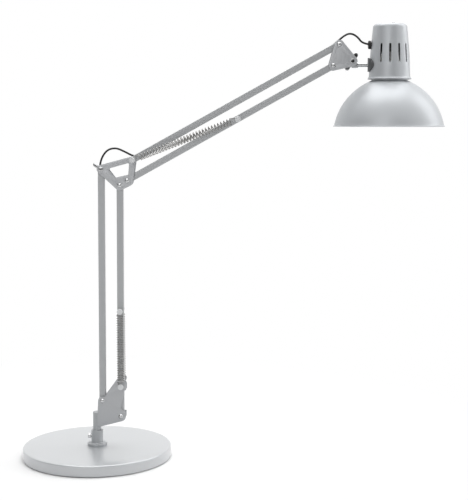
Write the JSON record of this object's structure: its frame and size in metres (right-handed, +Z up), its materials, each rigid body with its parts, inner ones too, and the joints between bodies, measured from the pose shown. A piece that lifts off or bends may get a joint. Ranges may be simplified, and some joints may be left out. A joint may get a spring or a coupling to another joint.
{
  "type": "spring balanced desk lamp",
  "caption": "Desk lamp with a round weighted base, parallelogram arms of square tube balanced by springs, and a slotted head with a domed shade.",
  "frame": {"origin": "centre of the round base's underside, on the table top", "axes": "+Z up, +X from the base towards the lamp head, -Y is the front in which the arms are seen side on"},
  "size_m": [0.6478, 0.23, 0.6679],
  "materials": {
    "base_paint": "satin silver grey paint",
    "cast_iron": "rough casting",
    "zinc_steel": "plain zinc",
    "pad_felt": "matt black",
    "socket_paint": "satin grey paint",
    "bright_steel": "bright plated",
    "plate_paint": "satin silver grey paint",
    "rod_paint": "satin silver grey paint",
    "spring_steel": "plain spring wire",
    "washer_nylon": "natural nylon",
    "lead_black": "matt black",
    "saddle_grey": "matt dark grey",
    "knuckle_metal": "satin grey",
    "head_paint": "satin silver grey paint",
    "holder_black": "black moulded",
    "bulb_glass": "frosted"
  },
  "bodies": {
    "base": {"base_cover": "base_paint", "base_weight": "cast_iron", "closing_plate": "zinc_steel", "foot_pad": "pad_felt", "weight_screws": "zinc_steel", "base_socket": "socket_paint", "socket_nut": "zinc_steel", "thumb_screw": "bright_steel"},
    "stem": {"stem": "socket_paint", "stem_plate_front": "plate_paint", "stem_plate_rear": "plate_paint", "stem_rivets": "bright_steel", "stem_wing_nut": "bright_steel", "stem_pivot_washers": "washer_nylon", "stem_peg_cap": "washer_nylon", "stem_spring_pegs": "bright_steel", "lower_spring_front": "spring_steel", "lower_spring_rear": "spring_steel"},
    "lower_main": {"lower_main_rod": "rod_paint", "lead_bush": "lead_black", "lead_in_lower_rod": "lead_black"},
    "lower_tie": {"lower_tie_rod": "rod_paint", "lower_spring_pin": "bright_steel", "lower_spring_pin_caps": "washer_nylon"},
    "elbow": {"elbow_plate_front": "plate_paint", "elbow_plate_rear": "plate_paint", "elbow_bolt": "bright_steel", "elbow_wing_nut": "bright_steel", "elbow_rivets": "bright_steel", "elbow_pivot_washers": "washer_nylon", "elbow_spring_pin": "bright_steel", "elbow_spring_pin_caps": "washer_nylon", "upper_spring_front": "spring_steel", "upper_spring_rear": "spring_steel", "lead_elbow_loop": "lead_black"},
    "upper_main": {"upper_main_rod": "rod_paint", "lead_in_upper_rod": "lead_black"},
    "upper_tie": {"upper_tie_rod": "rod_paint", "upper_spring_pin": "bright_steel", "upper_spring_pin_caps": "washer_nylon"},
    "head_bracket": {"head_plate_front": "plate_paint", "head_plate_rear": "plate_paint", "head_rivets": "bright_steel", "tilt_bolt": "bright_steel", "tilt_wing_nut": "bright_steel", "head_pivot_washers": "washer_nylon", "lead_head_loop": "lead_black"},
    "knuckle": {"tilt_knuckle": "knuckle_metal", "head_bolt": "bright_steel", "head_bolt_nut": "zinc_steel"},
    "head": {"lamp_cap": "head_paint", "shade": "head_paint", "shade_carrier_ring": "head_paint", "saddle_washer": "saddle_grey", "inner_saddle_washer": "zinc_steel", "cord_grommet": "lead_black", "lamp_holder": "holder_black", "holder_screws": "bright_steel", "bulb_cap": "zinc_steel", "bulb_glass": "bulb_glass"}
  },
  "joints": [
    {"name": "stem_swivel", "type": "hinge", "parent": "base", "child": "stem", "pos_m": [0, 0, 0.042], "axis": [0, 0, 1], "continuous": true},
    {"name": "lower_arm", "type": "hinge", "parent": "stem", "child": "lower_main", "pos_m": [0.0096, 0, 0.0892], "axis": [0, 1, 0], "range_deg": [-28, 50]},
    {"name": "lower_tie", "type": "hinge", "parent": "stem", "child": "lower_tie", "pos_m": [0.0379, 0, 0.0646], "axis": [0, 1, 0], "range_deg": [-28, 50], "deforming": ["lower_spring_front", "lower_spring_rear"]},
    {"name": "elbow_level", "type": "hinge", "parent": "lower_main", "child": "elbow", "pos_m": [0.01167, 0, 0.44839], "axis": [0, 1, 0], "range_deg": [-50, 28], "deforming": ["lead_elbow_loop"]},
    {"name": "upper_arm", "type": "hinge", "parent": "elbow", "child": "upper_main", "pos_m": [0.05994, 0, 0.46237], "axis": [0, 1, 0], "range_deg": [-24, 55]},
    {"name": "upper_tie", "type": "hinge", "parent": "elbow", "child": "upper_tie", "pos_m": [0.05147, 0, 0.43099], "axis": [0, 1, 0], "range_deg": [-24, 55], "deforming": ["upper_spring_front", "upper_spring_rear"]},
    {"name": "head_level", "type": "hinge", "parent": "upper_main", "child": "head_bracket", "pos_m": [0.372, 0, 0.63535], "axis": [0, 1, 0], "range_deg": [-55, 24]},
    {"name": "head_tilt", "type": "hinge", "parent": "head_bracket", "child": "knuckle", "pos_m": [0.3918, 0, 0.61045], "axis": [0, 1, 0], "range_deg": [-40, 24], "deforming": ["lead_head_loop"]},
    {"name": "head_spin", "type": "hinge", "parent": "knuckle", "child": "head", "pos_m": [0.4118, 0, 0.60505], "axis": [1, 0, 0], "range_deg": [-60, 60]}
  ],
  "couplings": [
    {"joint": "lower_tie", "follows": "lower_arm", "ratio": 1},
    {"joint": "elbow_level", "follows": "lower_arm", "ratio": -1},
    {"joint": "upper_tie", "follows": "upper_arm", "ratio": 1},
    {"joint": "head_level", "follows": "upper_arm", "ratio": -1}
  ]
}
